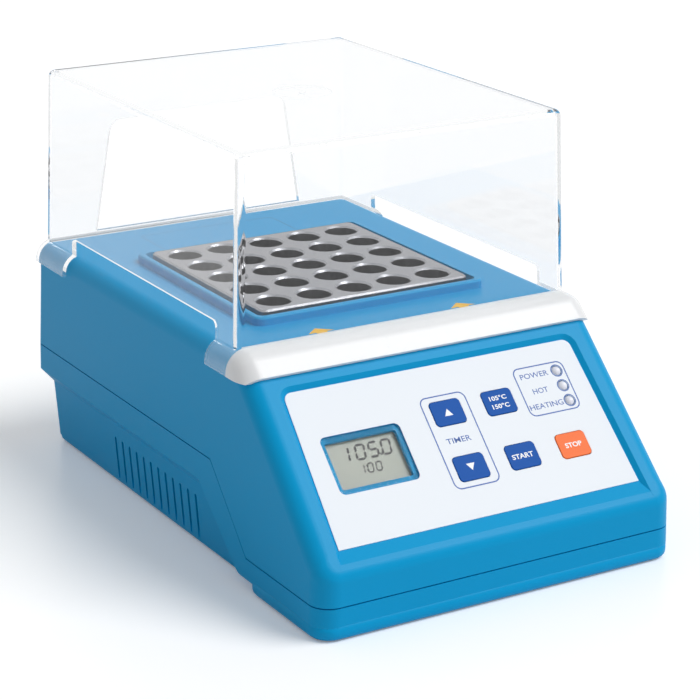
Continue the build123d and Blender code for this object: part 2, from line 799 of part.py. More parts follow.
def rocker_housing():
    x, z = rocker_x, inlet_z
    bezel = slab(x - 8, x + 8, rear_y, rear_y + 2, z - 11, z + 11)
    bezel = fillet(bezel.edges().filter_by(Axis.Y), 1.5)
    body = slab(x - 6.3, x + 6.3, rear_y - 18, rear_y + 0.5, z - 9.3, z + 9.3)
    housing = bezel + body
    housing = housing - slab(x - 5.2, x + 5.2, rear_y - 10, rear_y + 3, z - rocker_radius - 0.3, z + rocker_radius + 0.3)
    for dx in (-1, 1):
        socket = Pos(x + dx * 5.2, rocker_y, z) * (Rot(0, 90, 0) * Cylinder(1.05, 1.6))
        housing = housing - socket
    for dz in (-5.0, 0.0, 5.0):
        housing = housing + slab(x - 3, x + 3, rear_y - 25, rear_y - 17.5, z + dz - 0.4, z + dz + 0.4)
    return housing


def rocker():
    # A drum cut to two flats that meet at a shallow ridge, resting with its lower half pressed in
    drum = Rot(0, 90, 0) * Cylinder(rocker_radius, 10)
    tilt = math.tan(math.radians(rocker_tilt))
    r = rocker_radius + 1
    flats = Polyline((-5, -r), (4.2 + r * tilt, -r), (4.2, 0), (4.2 + r * tilt, r), (-5, r), close=True)
    keep = extrude(make_face(Plane.YZ * flats), 20, both=True)
    body = (drum & keep) + (Rot(0, 90, 0) * Cylinder(1.0, 11.8))
    return Pos(rocker_x, rocker_y, inlet_z) * (Rot(rocker_tilt, 0, 0) * body)


def inlet_leads():
    back = rear_y - inlet_body[2]
    group = []
    ends = [(44.0, 9.2, 60.0), (50.0, 12.2, 66.0)]
    for start_x, low, end_x in ends:
        points = [(start_x, back, inlet_z), (start_x, back - 9, inlet_z), (start_x + 4, back - 12, low),
                  (76.4, 88, low), (76.4, -60, low), (end_x, -82.9, 14.9)]
        group.append(wire(points, 1.2, 3))
    return Compound(group)


def heater_leads():
    back = block_y + block_size / 2 + 4
    group = []
    for start_x, low in ((-heater_x, 9.2), (heater_x, 12.2)):
        points = [(start_x, back, heater_z), (start_x, back + 8, heater_z), (start_x, back + 9, 26),
                  (-76.4, back + 6, low), (-76.4, -40, low), (-30, -50 - low, low),
                  (-18 + low, -82.8, 14.9)]
        group.append(wire(points, 1.2, 3))
    return Compound(group)


def shield_body(grow, low_extra, high_extra):
    # The drafted box: grow shrinks it on every side, and the two extras move its ends
    height = shield_top - (case_top + flange_gap)
    rate_x = (shield_low_half - shield_high_half) / height
    rate_f = (shield_high_y[0] - shield_low_y[0]) / height
    rate_b = (shield_low_y[1] - shield_high_y[1]) / height
    z0 = case_top + flange_gap
    faces = []
    for z in (z0 - low_extra, shield_top + high_extra):
        rise = z - z0
        half = shield_low_half - rate_x * rise + grow
        front = shield_low_y[0] + rate_f * rise - grow
        back = shield_low_y[1] - rate_b * rise + grow
        faces.append(round_outline(half, front, back, z, 4.0 + grow))
    return loft(faces, ruled=True)


def shield_walls():
    outer = shield_body(0, 0, 0)
    crest = outer.edges().group_by(Axis.Z)[-1]
    outer = fillet(crest, 3.2)
    inner = shield_body(-shield_wall, 2, -shield_wall)
    crest = inner.edges().group_by(Axis.Z)[-1]
    return outer - fillet(crest, 1.2)


def flange_keep():
    # Where the flange exists: full width at front and back, and short feet along the sides
    s = flange_slope_s
    y = panel_y + s * panel_cos
    z = panel_z + s * panel_sin
    run = 40.0
    front = side_prism(
        [(y + run * panel_sin, z - run * panel_cos), (y - run * panel_sin, z + run * panel_cos),
         (notch_y[0], 160), (notch_y[0], z - run * panel_cos)], 120)
    front = front & slab(-120, 120, -200, notch_y[0], flange_drop_z, 160)
    back = slab(-120, 120, notch_y[1], 200, flange_drop_z, 160)
    return front + back


def safety_shield():
    shell = case_form(-flange_gap - flange_thick, -flange_gap - flange_thick)
    shell = shell - case_form(-flange_gap, -flange_gap)
    flange = shell & flange_keep()
    flange = flange - shield_body(-shield_wall, 4, 0)
    shield = shield_walls() + flange
    notch = slab(-120, 120, notch_y[0], notch_y[1], 90, notch_top)
    notch = fillet(notch.edges().filter_by(Axis.X).filter_by(lambda e: (e @ 0.5).Z > 100), 3)
    shield = shield - notch
    door = Polyline((-59, 108.7), (59, 108.7), (49.8, 166.7), (-49.8, 166.7), close=True)
    door = make_face(Plane.XZ * door)
    door = fillet(door.vertices().filter_by(lambda v: v.Z > 150), 7)
    shield = shield - (Pos(0, 142, 0) * extrude(door, 12, both=True))
    ring = rod(0, 31, shield_top - 0.7, shield_top + 1, 14.4)
    shield = shield - ring
    shield = shield + rod(0, 31, shield_top - 1.2, shield_top - 0.2, 1.8)
    for x in (-60.0, 60.0):
        shield = shield + slab(x - 6, x + 6, shield_low_y[0], shield_low_y[0] + 1.6, case_top, case_top + 1)
        shield = shield + slab(x - 6, x + 6, shield_low_y[1] - 1.6, shield_low_y[1], case_top, case_top + 1)
    return shield


makers = {
    "base_tray": base_tray,
    "top_cover": top_cover,
    "panel_overlay": panel_overlay,
    "lcd_window": lcd_window,
    "lcd_frame": lcd_frame,
    "lcd_glass": lcd_glass,
    "control_board": control_board,
    "tactile_switches": tactile_switches,
    "control_screws": control_screws,
    "heating_block": heating_block,
    "heater_cartridges": heater_cartridges,
    "temperature_sensor": temperature_sensor,
    "thermal_cutout": thermal_cutout,
    "insulation_jacket": insulation_jacket,
    "insulation_base": insulation_base,
    "block_spacers": block_spacers,
    "block_cradle": block_cradle,
    "block_screws": block_screws,
    "cradle_screws": cradle_screws,
    "case_screws": case_screws,
    "rubber_feet": rubber_feet,
    "power_board": power_board,
    "power_parts": power_parts,
    "heat_sink": heat_sink,
    "triac": triac,
    "power_screws": power_screws,
    "transformer_core": transformer_core,
    "transformer_coil": transformer_coil,
    "coil_screws": coil_screws,
    "ribbon_cable": ribbon_cable,
    "inlet_leads": inlet_leads,
    "heater_leads": heater_leads,
    "mains_inlet": mains_inlet,
    "inlet_pins": inlet_pins,
    "inlet_screws": inlet_screws,
    "fuse_drawer": fuse_drawer,
    "fuse": fuse,
    "rocker_housing": rocker_housing,
    "rocker": rocker,
    "safety_shield": safety_shield,
}

for name, place in key_places.items():
    export_step(key(place), "parts/" + name + ".step")
for name, place in lamp_places.items():
    export_step(lamp(place), "parts/" + name + ".step")
for name, make in makers.items():
    export_step(make(), "parts/" + name + ".step")
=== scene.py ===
import bpy
import math
import numpy as np
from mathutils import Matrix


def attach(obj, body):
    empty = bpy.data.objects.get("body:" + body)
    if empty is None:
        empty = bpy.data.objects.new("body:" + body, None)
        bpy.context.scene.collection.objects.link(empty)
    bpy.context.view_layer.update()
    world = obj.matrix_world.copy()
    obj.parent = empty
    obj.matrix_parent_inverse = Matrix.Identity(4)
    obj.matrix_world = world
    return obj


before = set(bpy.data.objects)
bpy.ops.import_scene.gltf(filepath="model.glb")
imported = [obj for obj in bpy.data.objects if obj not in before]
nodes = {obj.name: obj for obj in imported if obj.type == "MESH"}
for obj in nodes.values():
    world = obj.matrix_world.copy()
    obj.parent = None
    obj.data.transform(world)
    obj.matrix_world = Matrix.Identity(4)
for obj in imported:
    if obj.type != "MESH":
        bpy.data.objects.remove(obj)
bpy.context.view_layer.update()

print("frame loaded:", len(nodes), "nodes")

# Camera and room

camera = {
    "place": (-0.5465, -0.9428, 0.4413),
    "tilt": 71.38,      # degrees up from looking straight down
    "turn": -30.48,     # degrees about the vertical
    "lens": 121.4,
}
room = {
    "white": 1.0,       # what the camera, mirrors and clear plastic see behind the object
    "fill": 0.36,       # light from all round
    "floorColour": (0.86, 0.86, 0.86),
    "floorSeen": (1.0, 1.0, 1.0, 1.0),   # the floor as the camera sees it
    "floorGlow": (0.16, 0.16, 0.16, 1.0),
    "floorRough": 0.3,
    "floorShine": 0.2,
    "floorCloud": 0.4,  # metres; the size of its faint cloudiness
    "floorHalf": 3.0,
}
lamps = {
    "key": {"aim": (-0.50, 0.42, -0.80), "power": 2.0, "spread": 38.0},
    "rim": {"aim": (0.35, -0.55, -0.80), "power": 0.12, "spread": 60.0},
}


def linear(red, green, blue):
    # Screen values 0-255 to linear light: the usual display curve, undone
    value = np.array([red, green, blue]) / 255.0
    value = np.where(value <= 0.04045, value / 12.92, ((value + 0.055) / 1.055) ** 2.4)
    return tuple(float(v) for v in value) + (1.0,)


def scaled(colour, factor):
    # A colour made lighter or darker, no brighter than white
    return tuple(min(1.0, c * factor) for c in colour[:3]) + (1.0,)


class Wire:
    # One shader socket: sums on wires add Math nodes, and make() adds any other node
    def __init__(self, tree, socket=None):
        self.tree = tree
        self.socket = socket

    def make(self, kind, settings={}, sockets={}, out=0):
        node = self.tree.nodes.new("ShaderNode" + kind)
        for name, value in settings.items():
            setattr(node, name, value)
        for name, value in sockets.items():
            port = node.inputs[name]
            if isinstance(value, Wire):
                self.tree.links.new(value.socket, port)
            else:
                port.default_value = value
        return Wire(self.tree, node.outputs[out] if len(node.outputs) else None)

    def maths(self, operation, *values):
        return self.make("Math", {"operation": operation}, dict(enumerate(values)))

    def __add__(self, other):
        return self.maths("ADD", self, other)

    def __sub__(self, other):
        return self.maths("SUBTRACT", self, other)

    def __rsub__(self, other):
        return self.maths("SUBTRACT", other, self)

    def __mul__(self, other):
        return self.maths("MULTIPLY", self, other)

    __radd__ = __add__
    __rmul__ = __mul__

    def mixed(self, low, high):
        # this wire as the factor between two colours
        return self.make("Mix", {"data_type": "RGBA"}, {0: self, 6: low, 7: high}, 2)


def startMaterial(name):
    material = bpy.data.materials.new(name)
    material.use_nodes = True
    material.node_tree.nodes.clear()
    wire = Wire(material.node_tree)
    return material, wire, wire.make("TexCoord", out="Object")


def closeMaterial(wire, shader):
    wire.make("OutputMaterial", {}, {"Surface": shader})


def noise(wire, place, size, detail=2.0, stretch=None):
    if stretch:
        place = wire.make("Mapping", {}, {"Vector": place, "Scale": stretch})
    return wire.make("TexNoise", {}, {"Vector": place, "Scale": 1.0 / size, "Detail": detail})


# Materials

shared = {
    "driftShare": 0.7,  # of the tone's change; the grain has the rest
    "grainHeight": 0.15,  # of the grain's size
    "coatRough": 0.12,
    "wave": 0.03,       # metres; the flow waves in moulded clear plastic
    "haze": 0.004,
    "inkWeave": 0.00035,
}


def grained(name, look):
    # Tone drifts slowly, and a fine grain moves tone, gloss and height together
    material, wire, place = startMaterial(name)
    drift = noise(wire, place, look.get("drift", 0.05))
    grain = noise(wire, place, look["grain"], 3.0, look.get("stretch"))
    base = look["colour"]
    change = look.get("change", 0.05)
    blend = drift * shared["driftShare"] + grain * (1 - shared["driftShare"])
    tone = blend.mixed(scaled(base, 1 - change), scaled(base, 1 + change))
    spread = look.get("spread", 0.08)
    bump = wire.make("Bump", {}, {"Strength": look.get("relief", 0.25),
                                  "Distance": look["grain"] * shared["grainHeight"],
                                  "Height": grain})
    shader = wire.make("BsdfPrincipled", {}, {
        "Base Color": tone, "Roughness": grain * spread + (look["rough"] - spread / 2),
        "Normal": bump, "Metallic": look.get("metal", 0.0),
        "Specular IOR Level": look.get("shine", 0.5), "Coat Weight": look.get("coat", 0.0),
        "Coat Roughness": shared["coatRough"]})
    closeMaterial(wire, shader)
    return material


def clearPlastic(name, look):
    # Moulded clear plastic: faint flow waves, a little haze, and a frosted front flange. Lamp light,
    # scattered light and rays that have turned too often inside it pass straight through
    material, wire, place = startMaterial(name)
    flow = noise(wire, place, shared["wave"], 2.0, (1.0, 1.0, 0.4))
    haze = noise(wire, place, shared["haze"], 3.0)
    bump = wire.make("Bump", {}, {"Strength": look["waves"], "Distance": look["waveHeight"],
                                  "Height": flow})
    glass = wire.make("BsdfPrincipled", {}, {
        "Base Color": haze.mixed(scaled(look["colour"], 0.99), look["colour"]),
        "Roughness": haze * 0.03 + look["rough"], "Normal": bump,
        "Transmission Weight": 1.0, "IOR": look["bend"]})
    passing = wire.make("BsdfTransparent", {}, {"Color": look["shadow"]})
    shadow = wire.make("LightPath", out="Is Shadow Ray")
    scattered = wire.make("LightPath", out="Is Diffuse Ray")
    turned = wire.maths("GREATER_THAN", wire.make("LightPath", out="Ray Depth"), look["turns"])
    straight = wire.maths("MAXIMUM", wire.maths("MAXIMUM", shadow, scattered), turned)
    clear = wire.make("MixShader", {}, {0: straight, 1: glass, 2: passing})
    ahead = wire.maths("LESS_THAN", wire.make("SeparateXYZ", {}, {"Vector": place}, 1), look["frostBack"])
    low = wire.maths("LESS_THAN", wire.make("SeparateXYZ", {}, {"Vector": place}, 2), look["frostTop"])
    frost = wire.make("BsdfPrincipled", {}, {
        "Base Color": haze.mixed(scaled(look["frost"], 0.96), look["frost"]),
        "Roughness": haze * 0.1 + look["frostRough"], "Normal": bump})
    veil = ahead * low * look["veil"]
    closeMaterial(wire, wire.make("MixShader", {}, {0: veil, 1: clear, 2: frost}))
    return material


def clearPane(name, look):
    # A thin clear sheet: it shows what is behind it, and mirrors a little
    material, wire, place = startMaterial(name)
    haze = noise(wire, place, shared["haze"], 3.0)
    closeMaterial(wire, wire.make("BsdfPrincipled", {}, {
        "Base Color": haze.mixed(scaled(look["colour"], 0.99), look["colour"]),
        "Roughness": haze * 0.05 + look["rough"], "Alpha": haze * 0.04 + look["cover"]}))
    return material


def milledBlock(name, look):
    # Milled metal: long cutter streaks, and a broad uneven sweep that moves tone and gloss
    material, wire, place = startMaterial(name)
    streaks = noise(wire, place, look["streak"], 3.0, look["streakStretch"])
    sweep = noise(wire, place, look["sweep"], 2.0, look["sweepStretch"])
    change = look["change"]
    tone = (streaks * 0.5 + sweep * 0.5).mixed(scaled(look["colour"], 1 - change),
                                               scaled(look["colour"], 1 + change))
    bump = wire.make("Bump", {}, {"Strength": 0.25, "Distance": look["depth"], "Height": streaks})
    closeMaterial(wire, wire.make("BsdfPrincipled", {}, {
        "Base Color": tone, "Metallic": 1.0, "Roughness": streaks * 0.14 + sweep * 0.1 + look["rough"],
        "Normal": bump}))
    return material


def displayFace(name, look):
    # A reflective display: grey-green with a slow cloud and a fine pearly grain
    material, wire, place = startMaterial(name)
    cloud = noise(wire, place, look["cloud"])
    pearl = noise(wire, place, look["pearl"], 1.0)
    tone = (cloud * 0.6 + pearl * 0.4).mixed(scaled(look["colour"], 0.93), scaled(look["colour"], 1.06))
    closeMaterial(wire, wire.make("BsdfPrincipled", {}, {
        "Base Color": tone, "Roughness": pearl * 0.1 + look["rough"]}))
    return material


def circuitBoard(name, look):
    # Green solder mask over copper runs: a brick pattern gives the runs, spots give the pads
    material, wire, place = startMaterial(name)
    runs = wire.make("TexBrick", {}, {"Vector": place, "Color1": (0, 0, 0, 1), "Color2": (0, 0, 0, 1),
                                      "Mortar": (1, 1, 1, 1), "Scale": look["runsPerMetre"],
                                      "Mortar Size": look["runWidth"]}, 1)
    spots = wire.make("TexVoronoi", {}, {"Vector": place, "Scale": look["padsPerMetre"]})
    pads = wire.maths("LESS_THAN", spots, look["padReach"])
    mask = runs.mixed(look["colour"], scaled(look["colour"], 1.7))
    tone = pads.mixed(mask, look["pads"])
    bump = wire.make("Bump", {}, {"Strength": 0.3, "Distance": look["depth"], "Height": runs + pads})
    closeMaterial(wire, wire.make("BsdfPrincipled", {}, {
        "Base Color": tone, "Roughness": look["rough"] - pads * 0.12, "Metallic": pads * 0.9,
        "Normal": bump}))
    return material


def banded(name, look):
    # Thin layers or turns side by side: a wave along one axis, with painted shade darkening its valleys
    material, wire, place = startMaterial(name)
    waves = wire.make("TexWave", {"bands_direction": look["along"]}, {
        "Vector": place, "Scale": look["perMetre"] / 20.0, "Distortion": 0.2, "Detail": 1.0}, 1)
    # painted shade: the valleys between layers and turns are darkened
    tone = waves.mixed(scaled(look["colour"], 0.55), scaled(look["colour"], 1.1))
    bump = wire.make("Bump", {}, {"Strength": 0.5, "Distance": look["depth"], "Height": waves})
    closeMaterial(wire, wire.make("BsdfPrincipled", {}, {
        "Base Color": tone, "Metallic": look["metal"], "Roughness": look["rough"] - waves * 0.15,
        "Normal": bump}))
    return material


def inkOrShade(name, colour):
    # Screen-printed ink, also used for the painted shade of the top's groove: thicker and thinner through
    # the mesh, so tone and gloss move a little
    material, wire, place = startMaterial(name)
    weave = noise(wire, place, shared["inkWeave"], 1.0)
    closeMaterial(wire, wire.make("BsdfPrincipled", {}, {
        "Base Color": weave.mixed(scaled(colour, 0.9), scaled(colour, 1.08)),
        "Roughness": weave * 0.12 + 0.38}))
    return material


looks = {
    "casing": (grained, {"colour": linear(0, 156, 213), "grain": 0.0009, "drift": 0.07, "change": 0.035,
                         "rough": 0.36, "spread": 0.06, "relief": 0.10, "shine": 0.13}),
    "film": (grained, {"colour": linear(232, 238, 245), "grain": 0.0005, "change": 0.012, "rough": 0.42,
                       "spread": 0.08, "relief": 0.12, "shine": 0.35}),
    "keyBlue": (grained, {"colour": linear(0, 84, 172), "grain": 0.0005, "rough": 0.36, "relief": 0.15,
                          "shine": 0.08}),
    "keyOrange": (grained, {"colour": linear(250, 112, 36), "grain": 0.0005, "rough": 0.36, "relief": 0.15,
                            "shine": 0.2}),
    "lens": (grained, {"colour": linear(236, 238, 248), "grain": 0.0012, "rough": 0.45, "spread": 0.05,
                       "relief": 0.1, "coat": 0.4, "change": 0.05}),
    "block": (milledBlock, {"colour": linear(150, 150, 154), "rough": 0.20, "change": 0.18, "depth": 0.00008,
                            "streak": 0.0006, "streakStretch": (0.06, 1.0, 1.0),
                            "sweep": 0.018, "sweepStretch": (1.0, 0.35, 1.0)}),
    # the frosted flange lies in front of frostBack and under frostTop, both in metres
    "shield": (clearPlastic, {"colour": linear(252, 253, 254), "rough": 0.0, "bend": 1.42, "turns": 3.5,
                              "waves": 0.04, "waveHeight": 0.0006, "shadow": linear(253, 254, 254),
                              "frost": linear(253, 254, 255), "frostRough": 0.25, "veil": 0.76,
                              "frostBack": -0.066, "frostTop": 0.1093}),
    "pane": (clearPane, {"colour": linear(110, 122, 128), "rough": 0.04, "cover": 0.03}),
    "display": (displayFace, {"colour": linear(158, 164, 151), "rough": 0.28, "cloud": 0.03,
                              "pearl": 0.0003}),
    "board": (circuitBoard, {"colour": linear(20, 88, 48), "pads": linear(200, 200, 196), "rough": 0.42,
                             "runsPerMetre": 160.0, "runWidth": 0.08, "padsPerMetre": 320.0,
                             "padReach": 0.16, "depth": 0.00004}),
    "black": (grained, {"colour": linear(30, 31, 33), "grain": 0.0008, "rough": 0.42, "relief": 0.2}),
    "darkGrey": (grained, {"colour": linear(62, 64, 67), "grain": 0.001, "rough": 0.5, "relief": 0.2}),
    "rubber": (grained, {"colour": linear(38, 38, 40), "grain": 0.0012, "rough": 0.8, "relief": 0.35}),
    "zinc": (grained, {"colour": linear(196, 196, 198), "grain": 0.0016, "rough": 0.34, "metal": 1.0,
                       "spread": 0.16, "change": 0.12}),
    "sheet": (grained, {"colour": linear(178, 180, 183), "grain": 0.006, "rough": 0.38, "metal": 1.0,
                        "spread": 0.2, "change": 0.16, "stretch": (1, 1, 0.7)}),
    "steel": (grained, {"colour": linear(204, 203, 200), "grain": 0.0007, "rough": 0.26, "metal": 1.0,
                        "stretch": (1, 0.1, 1)}),
    "ceramic": (grained, {"colour": linear(226, 222, 212), "grain": 0.0006, "rough": 0.6}),
    "fibre": (grained, {"colour": linear(214, 206, 188), "grain": 0.0011, "rough": 0.9, "relief": 0.8,
                        "change": 0.14, "stretch": (1, 1, 0.25)}),
    "alloy": (grained, {"colour": linear(160, 162, 166), "grain": 0.0006, "rough": 0.4, "metal": 1.0,
                        "stretch": (1, 1, 0.08)}),
    "brass": (grained, {"colour": linear(206, 178, 112), "grain": 0.0006, "rough": 0.3, "metal": 1.0}),
    "laminations": (banded, {"colour": linear(120, 122, 126), "along": "Y", "perMetre": 2000, "metal": 0.9,
                             "rough": 0.5, "depth": 0.0002}),
    "winding": (banded, {"colour": linear(186, 104, 52), "along": "Z", "perMetre": 1600, "metal": 0.7,
                         "rough": 0.5, "depth": 0.0002}),
    "ribbon": (banded, {"colour": linear(168, 170, 172), "along": "X", "perMetre": 787, "metal": 0.0,
                        "rough": 0.5, "depth": 0.0002}),
    "silicone": (grained, {"colour": linear(168, 42, 34), "grain": 0.0012, "rough": 0.5}),
    "leadSkin": (grained, {"colour": linear(92, 62, 44), "grain": 0.0012, "rough": 0.42}),
    "glassTube": (grained, {"colour": linear(205, 208, 205), "grain": 0.001, "rough": 0.2, "coat": 0.5}),
}
finishes = {
    "casing": ["base_tray", "top_cover"],
    "film": ["panel_overlay"],
    "keyBlue": ["key_up", "key_down", "key_temp", "key_start"],
    "keyOrange": ["key_stop"],
    "lens": ["led_power", "led_hot", "led_heating"],
    "block": ["heating_block"],
    "shield": ["safety_shield"],
    "pane": ["lcd_window"],
    "display": ["lcd_glass"],
    "board": ["control_board", "power_board"],
    "black": ["tactile_switches", "triac", "mains_inlet", "fuse_drawer", "rocker_housing", "rocker"],
    "darkGrey": ["lcd_frame", "power_parts"],
    "rubber": ["rubber_feet"],
    "zinc": ["control_screws", "block_screws", "cradle_screws", "case_screws", "power_screws",
             "coil_screws", "inlet_screws"],
    "sheet": ["block_cradle"],
    "steel": ["heater_cartridges", "temperature_sensor"],
    "ceramic": ["block_spacers", "thermal_cutout"],
    "fibre": ["insulation_jacket", "insulation_base"],
    "alloy": ["heat_sink"],
    "brass": ["inlet_pins"],
    "laminations": ["transformer_core"],
    "winding": ["transformer_coil"],
    "ribbon": ["ribbon_cable"],
    "silicone": ["heater_leads"],
    "leadSkin": ["inlet_leads"],
    "glassTube": ["fuse"],
}
for finish, names in finishes.items():
    maker, look = looks[finish]
    material = maker(finish, look)
    for name in names:
        piece = nodes[name]
        if not piece.material_slots:
            piece.data.materials.append(material)
        for slot in piece.material_slots:
            slot.material = material
undressed = set(nodes) - {name for names in finishes.values() for name in names}
print("materials on every node:", not undressed, sorted(undressed))


# Printed marks

panel = {
    "origin": (0.0, -140.4, 38.0),   # millimetres, at the middle of the overlay's lower edge
    "slope": math.radians(44.5),
    "inkThick": 0.03,
    "keyTop": 0.35,
    "displayTop": -3.5,
    "caseTop": 106.4,    # height of the case's level top
}
inksAndShade = {
    "blue": inkOrShade("inkBlue", linear(24, 84, 166)),
    "white": inkOrShade("inkWhite", linear(245, 247, 250)),
    "digit": inkOrShade("inkDigit", linear(6, 8, 7)),
    "yellow": inkOrShade("inkYellow", linear(246, 190, 38)),
    # painted shade: the engraved groove on the top is drawn as a darker band of the casing's blue
    "grooveShade": inkOrShade("paintedGrooveShade", linear(0, 118, 172)),
}


def onPanel(x, s, lift):
    # Panel millimetres to metres: along x, up the slope by s, and out along its normal by lift
    x, s, lift = np.broadcast_arrays(x, s, lift)
    sine, cosine = math.sin(panel["slope"]), math.cos(panel["slope"])
    ox, oy, oz = panel["origin"]
    points = np.stack([ox + x, oy + s * cosine - lift * sine, oz + s * sine + lift * cosine], -1)
    return points / 1000.0


def onTop(x, y, lift):
    # The same on the level top of the case
    x, y, lift = np.broadcast_arrays(x, y, lift)
    return np.stack([x, y, panel["caseTop"] + lift], -1) / 1000.0


def addPiece(name, points, faces, finish, body):
    # A mesh from points in metres and lists of corner numbers, riding on its body
    mesh = bpy.data.meshes.new(name)
    mesh.from_pydata(points.reshape(-1, 3).tolist(), [], faces)
    mesh.materials.append(finish)
    mesh.update()
    piece = bpy.data.objects.new(name, mesh)
    bpy.context.scene.collection.objects.link(piece)
    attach(piece, body)
    return piece


def ringFaces(steps, sides):
    # Quads of a tube of sections: each side of each section to the next, closed both ways
    i, j = np.meshgrid(np.arange(steps), np.arange(sides), indexing="ij")
    k, m = (i + 1) % steps, (j + 1) % sides
    quads = np.stack([i * sides + j, k * sides + j, k * sides + m, i * sides + m], -1)
    return quads.reshape(-1, 4).tolist()


def roundedBand(centre, size, radius, width, arc=8):
    # Outline of a rounded rectangle: each corner is a quarter circle about its own centre,
    # and a band's section goes in, out, up and back round it
    angles = (np.arange(4)[:, None] * 90 + np.linspace(0, 90, arc)[None, :]).ravel() * math.pi / 180
    quarter = np.repeat(np.arange(4), arc)
    cx = np.where((quarter == 0) | (quarter == 3), 1, -1) * (size[0] / 2 - radius)
    cs = np.where(quarter < 2, 1, -1) * (size[1] / 2 - radius)
    reach = np.array([radius - width / 2, radius + width / 2, radius + width / 2, radius - width / 2])
    x = centre[0] + cx[:, None] + reach[None, :] * np.cos(angles)[:, None]
    s = centre[1] + cs[:, None] + reach[None, :] * np.sin(angles)[:, None]
    return x, s


def printBand(name, centre, size, radius, width, finish, place):
    # A raised line: a flat section of the band's width carried round a rounded rectangle
    x, s = roundedBand(centre, size, radius, width)
    lift = np.array([0.0, 0.0, 1.0, 1.0])[None, :] * panel["inkThick"]
    addPiece(name, place(x, s, lift), ringFaces(len(x), 4), finish, "case")


def printShape(name, corners, finish, place, base, body):
    # A flat shape from its corners in order: a top and a bottom face joined by its sides
    corners = np.array(corners, float)
    count = len(corners)
    turn = np.roll(corners, -1, 0)
    if np.sum(corners[:, 0] * turn[:, 1] - corners[:, 1] * turn[:, 0]) < 0:
        corners = corners[::-1]
    both = np.concatenate([corners, corners])
    lift = base + np.repeat([0.0, panel["inkThick"]], count)
    ring = np.arange(count)
    after = (ring + 1) % count
    sides = np.stack([ring, after, after + count, ring + count], -1).tolist()
    faces = [(ring[::-1]).tolist(), (ring + count).tolist()] + sides
    return addPiece(name, place(both[:, 0], both[:, 1], lift), faces, finish, body)


def printWords(name, words, box, finish, place, base, body, weight=0.0):
    # Letters from the text tool, stretched so that they fill a box of millimetres
    curve = bpy.data.curves.new(name + "Text", "FONT")
    curve.body, curve.extrude, curve.offset = words, 0.01, weight
    curve.resolution_u = 4
    draft = bpy.data.objects.new(name + "Text", curve)
    bpy.context.scene.collection.objects.link(draft)
    bpy.context.view_layer.update()
    mesh = bpy.data.meshes.new_from_object(draft.evaluated_get(bpy.context.evaluated_depsgraph_get()))
    bpy.data.objects.remove(draft)
    points = np.empty(len(mesh.vertices) * 3)
    mesh.vertices.foreach_get("co", points)
    points = points.reshape(-1, 3)
    low, high = points.min(0), points.max(0)
    share = (points - low) / (high - low)
    x = box[0] + share[:, 0] * (box[1] - box[0])
    s = box[2] + share[:, 1] * (box[3] - box[2])
    placed = place(x, s, base + share[:, 2] * panel["inkThick"])
    mesh.vertices.foreach_set("co", placed.ravel())
    mesh.materials.clear()
    mesh.materials.append(finish)
    mesh.update()
    piece = bpy.data.objects.new(name, mesh)
    bpy.context.scene.collection.objects.link(piece)
    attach(piece, body)
    return piece


panelWords = {
    "timer_word": ("TIMER", (-8.0, 4.9, 36.9, 39.6)),
    "power_word": ("POWER", (42.8, 58.2, 60.4, 63.1)),
    "hot_word": ("HOT", (46.2, 54.5, 52.2, 54.9)),
    "heating_word": ("HEATING", (41.0, 59.4, 44.5, 47.2)),
}
for name, (words, box) in panelWords.items():
    printWords(name, words, box, inksAndShade["blue"], onPanel, 0.0, "case", 0.006)
printBand("timer_frame", (-1.15, 38.0), (23.7, 46.0), 3.4, 0.62, inksAndShade["blue"], onPanel)
printBand("lamp_frame", (53.8, 53.85), (27.6, 24.7), 3.2, 0.62, inksAndShade["blue"], onPanel)
for name, s in (("power", 61.7), ("hot", 53.8), ("heating", 45.9)):
    printBand(name + "_ring", (63.2, s), (5.9, 5.9), 2.95, 0.5, inksAndShade["blue"], onPanel)

keyWords = {
    "temp_low_word": ("105°C", (22.0, 31.2, 53.0, 55.4), "key_temp"),
    "temp_high_word": ("150°C", (22.0, 31.2, 48.8, 51.2), "key_temp"),
    "start_word": ("START", (20.7, 32.1, 22.8, 25.3), "key_start"),
    "stop_word": ("STOP", (50.0, 59.0, 22.8, 25.3), "key_stop"),
}
for name, (words, box, key) in keyWords.items():
    printWords(name, words, box, inksAndShade["white"], onPanel, panel["keyTop"], key + "_cap", 0.025)
printShape("up_mark", [(-3.4, 50.4), (1.0, 50.4), (-1.2, 53.9)], inksAndShade["white"], onPanel,
           panel["keyTop"], "key_up_cap")
printShape("down_mark", [(-3.4, 26.0), (1.0, 26.0), (-1.2, 22.5)], inksAndShade["white"], onPanel,
           panel["keyTop"], "key_down_cap")
print("panel marks printed")

# Seven-bar digits: which bars each figure lights, and each bar's ends on a unit cell
barEnds = {"a": (0, 2, 1, 2), "b": (1, 1, 1, 2), "c": (1, 0, 1, 1), "d": (0, 0, 1, 0),
           "e": (0, 0, 0, 1), "f": (0, 1, 0, 2), "g": (0, 1, 1, 1)}
litBars = {"0": "abcdef", "1": "bc", "5": "acdfg"}
readout = {
    "temperature": {"figures": [("1", -60.0), ("0", -51.9), ("5", -45.2), ("0", -38.6)], "low": 40.2,
                    "wide": 4.3, "tall": 6.9, "bar": 1.15, "lean": 0.16},
    "minutes": {"figures": [("1", -53.4), ("0", -49.0), ("0", -44.7)], "low": 33.3,
                "wide": 2.6, "tall": 4.2, "bar": 0.74, "lean": 0.16},
}


